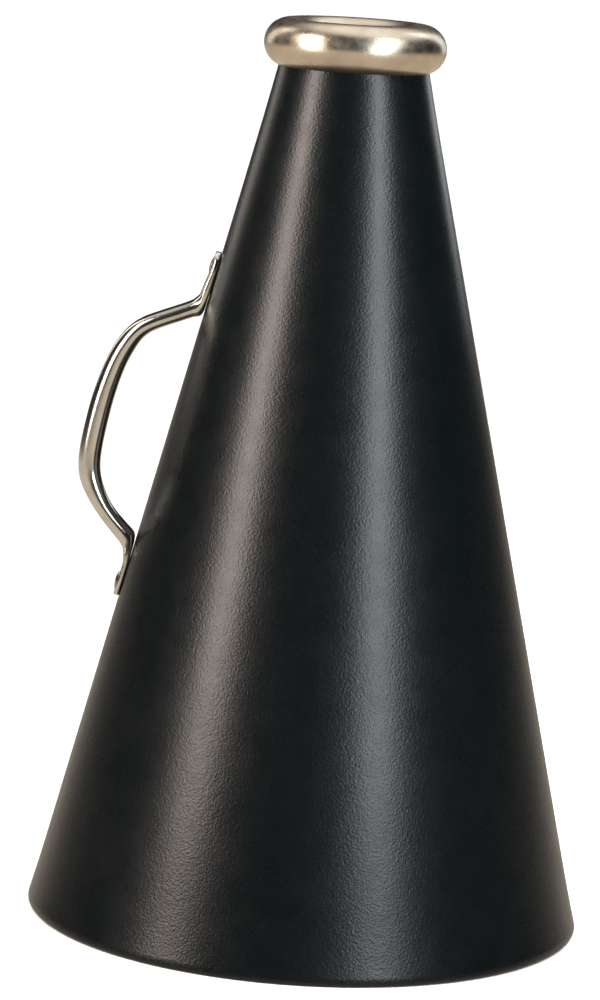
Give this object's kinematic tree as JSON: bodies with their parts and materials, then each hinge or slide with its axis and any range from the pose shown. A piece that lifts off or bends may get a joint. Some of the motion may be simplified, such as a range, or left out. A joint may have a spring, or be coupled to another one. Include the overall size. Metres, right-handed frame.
{
  "type": "handheld megaphone",
  "caption": "Passive handheld megaphone: black sheet-metal speaking cone with a thick hollow mouth ring and a riveted tube handle.",
  "frame": {"origin": "on the cone's axis, in the plane of the flat that the bell edge stands on", "axes": "+Z along the cone's axis from the bell to the mouth, -X towards the handle"},
  "size_m": [0.2464, 0.2464, 0.4],
  "materials": {
    "black_powder_coat": "satin black powder coat with a fine orange-peel texture",
    "satin_nickel": "satin nickel plate, warm",
    "bright_nickel": "bright nickel plate, polished lengthwise",
    "steel_wire": "plain steel"
  },
  "bodies": {
    "root": {"cone_shell": "black_powder_coat", "rim_wire": "steel_wire", "neck_ferrule": "satin_nickel", "mouth_ring": "satin_nickel", "handle": "bright_nickel", "handle_rivets": "bright_nickel", "rivet_burrs": "steel_wire"}
  },
  "joints": []
}
